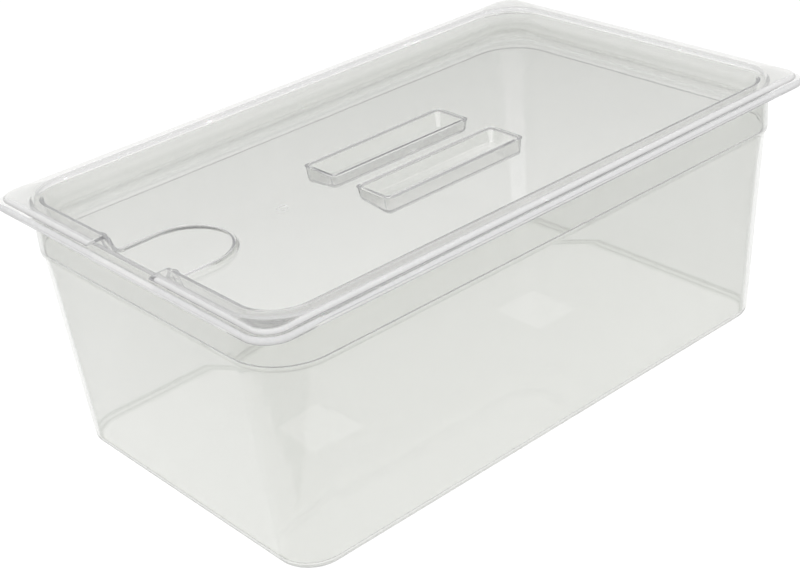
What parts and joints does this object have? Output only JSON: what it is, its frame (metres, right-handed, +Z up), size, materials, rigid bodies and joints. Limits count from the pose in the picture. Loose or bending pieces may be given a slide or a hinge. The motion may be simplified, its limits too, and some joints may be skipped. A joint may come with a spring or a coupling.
{
  "type": "deli food pan",
  "caption": "Deep clear plastic gastronorm food pan with a lift-off notched cover that has a moulded-in grip bar; it hangs by its rim in a deli counter or stands on a bench.",
  "frame": {"origin": "middle of the pan's flat underside", "axes": "+X along the pan's long side, away from the cover's ladle notch; +Y across the pan; +Z up, the way the cover lifts off"},
  "size_m": [0.53, 0.325, 0.2028],
  "materials": {
    "clear_polycarbonate": "gloss"
  },
  "bodies": {
    "pan": {"pan": "clear_polycarbonate"},
    "cover": {"cover": "clear_polycarbonate"}
  },
  "joints": [
    {"name": "cover_lift", "type": "slide", "parent": "pan", "child": "cover", "axis": [0, 0, 1], "range_m": [0, 0.12]}
  ]
}
